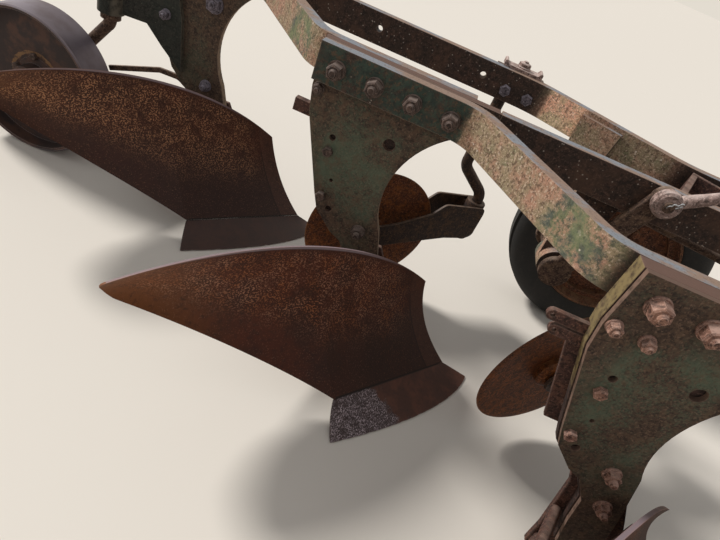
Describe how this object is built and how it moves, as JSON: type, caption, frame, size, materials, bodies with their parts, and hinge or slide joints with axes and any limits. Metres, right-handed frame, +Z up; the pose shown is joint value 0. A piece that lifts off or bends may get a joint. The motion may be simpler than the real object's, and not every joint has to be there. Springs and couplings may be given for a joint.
{
  "type": "three-furrow trailed moldboard plough",
  "caption": "Trailed plough: truss frame of flat bars, curved moldboards on plate standards, disc coulters, rubber land wheel, steel furrow wheels and a hinged drawbar.",
  "frame": {"origin": "centre of the plough's footprint box, on the ground", "axes": "+X forward to the drawbar nose, +Y to the land side (left), +Z up"},
  "size_m": [3.4566, 1.426, 1.4279],
  "materials": {
    "green_bar": "faded dark green paint over brown rust",
    "rusty_steel": "rusted",
    "board_rust": "dark pitted rust",
    "share_steel": "worn, dark, scratched",
    "worn_rim": "rubbed bright through rust",
    "tyre_rubber": "weathered black"
  },
  "bodies": {
    "frame": {"beams": "green_bar", "cross_members": "green_bar", "standards": "green_bar", "standard_backs": "green_bar", "standard_pegs": "rusty_steel", "frogs": "rusty_steel", "landsides": "rusty_steel", "moldboards": "board_rust", "shares": "share_steel", "board_braces": "rusty_steel", "coulter_clamps": "rusty_steel", "coulter_shanks": "rusty_steel", "shaft_hangers": "rusty_steel", "lever_bracket": "rusty_steel", "rear_bracket": "green_bar", "hitch_plate": "rusty_steel"},
    "front_coulter_yoke": {"yoke_front": "rusty_steel"},
    "front_coulter_disc": {"disc_front": "rusty_steel"},
    "middle_coulter_yoke": {"yoke_middle": "rusty_steel"},
    "middle_coulter_disc": {"disc_middle": "rusty_steel"},
    "rear_coulter_yoke": {"yoke_rear": "rusty_steel"},
    "rear_coulter_disc": {"disc_rear": "rusty_steel"},
    "land_crank": {"land_axle": "rusty_steel"},
    "land_wheel": {"land_rim": "rusty_steel", "land_tyre": "tyre_rubber"},
    "furrow_crank": {"furrow_axle": "rusty_steel"},
    "furrow_wheel": {"furrow_wheel": "worn_rim"},
    "rear_swivel": {"rear_axle": "rusty_steel"},
    "rear_wheel": {"rear_wheel": "worn_rim"},
    "lift_rod": {"lift_rod": "rusty_steel"},
    "lift_lever": {"lift_lever": "rusty_steel"},
    "link_rod": {"link_rod": "rusty_steel"},
    "drawbar": {"drawbar": "rusty_steel", "drawbar_brace": "rusty_steel"}
  },
  "joints": [
    {"name": "front_coulter_swivel", "type": "hinge", "parent": "frame", "child": "front_coulter_yoke", "pos_m": [0.77262, -0.235, 0.27], "axis": [0, 0, 1], "range_deg": [-67, 3]},
    {"name": "front_disc_spin", "type": "hinge", "parent": "front_coulter_yoke", "child": "front_coulter_disc", "pos_m": [0.53092, -0.38603, 0.19], "axis": [-0.5299, 0.848, 0], "continuous": true},
    {"name": "middle_coulter_swivel", "type": "hinge", "parent": "frame", "child": "middle_coulter_yoke", "pos_m": [0.1798, 0.19233, 0.304], "axis": [0, 0, 1], "range_deg": [-67, 3]},
    {"name": "middle_disc_spin", "type": "hinge", "parent": "middle_coulter_yoke", "child": "middle_coulter_disc", "pos_m": [-0.05648, 0.03296, 0.224], "axis": [-0.5592, 0.829, 0], "continuous": true},
    {"name": "rear_coulter_swivel", "type": "hinge", "parent": "frame", "child": "rear_coulter_yoke", "pos_m": [-0.30938, 0.477, 0.27], "axis": [0, 0, 1], "range_deg": [-67, 3]},
    {"name": "rear_disc_spin", "type": "hinge", "parent": "rear_coulter_yoke", "child": "rear_coulter_disc", "pos_m": [-0.55107, 0.32597, 0.19], "axis": [-0.5299, 0.848, 0], "continuous": true},
    {"name": "land_crank_turn", "type": "hinge", "parent": "frame", "child": "land_crank", "pos_m": [-0.17338, 0.277, 0.44], "axis": [0, 1, 0], "range_deg": [-30, 40]},
    {"name": "land_wheel_spin", "type": "hinge", "parent": "land_crank", "child": "land_wheel", "pos_m": [0.13462, 0.629, 0.29], "axis": [0, 1, 0], "continuous": true},
    {"name": "furrow_crank_turn", "type": "hinge", "parent": "frame", "child": "furrow_crank", "pos_m": [0.22862, -0.223, 0.415], "axis": [0, 1, 0], "range_deg": [-30, 40]},
    {"name": "furrow_wheel_spin", "type": "hinge", "parent": "furrow_crank", "child": "furrow_wheel", "pos_m": [0.53662, -0.603, 0.265], "axis": [0, 1, 0], "continuous": true},
    {"name": "lift_rod_pin", "type": "hinge", "parent": "land_crank", "child": "lift_rod", "pos_m": [-0.09338, 0.042, 0.659], "axis": [0, 1, 0], "range_deg": [-40, 30]},
    {"name": "lift_lever_turn", "type": "hinge", "parent": "frame", "child": "lift_lever", "pos_m": [0.42662, 0.061, 0.84], "axis": [0, 1, 0], "range_deg": [-30, 40]},
    {"name": "link_rod_pin", "type": "hinge", "parent": "land_crank", "child": "link_rod", "pos_m": [-0.17338, 0.237, 0.56], "axis": [0, 1, 0], "range_deg": [-40, 30]},
    {"name": "rear_swivel_turn", "type": "hinge", "parent": "frame", "child": "rear_swivel", "pos_m": [-1.38538, 0.423, 0.44], "axis": [0, 0, 1], "range_deg": [-15, 20]},
    {"name": "rear_wheel_spin", "type": "hinge", "parent": "rear_swivel", "child": "rear_wheel", "pos_m": [-1.53838, 0.349, 0.19], "axis": [0, 1, 0], "continuous": true},
    {"name": "drawbar_hinge", "type": "hinge", "parent": "frame", "child": "drawbar", "pos_m": [0.88662, -0.033, 0.43], "axis": [0, 1, 0], "range_deg": [-50, 0]}
  ],
  "couplings": [
    {"joint": "furrow_crank_turn", "follows": "land_crank_turn", "ratio": 1},
    {"joint": "lift_rod_pin", "follows": "land_crank_turn", "ratio": -1},
    {"joint": "lift_lever_turn", "follows": "land_crank_turn", "ratio": 1},
    {"joint": "link_rod_pin", "follows": "land_crank_turn", "ratio": -1}
  ]
}
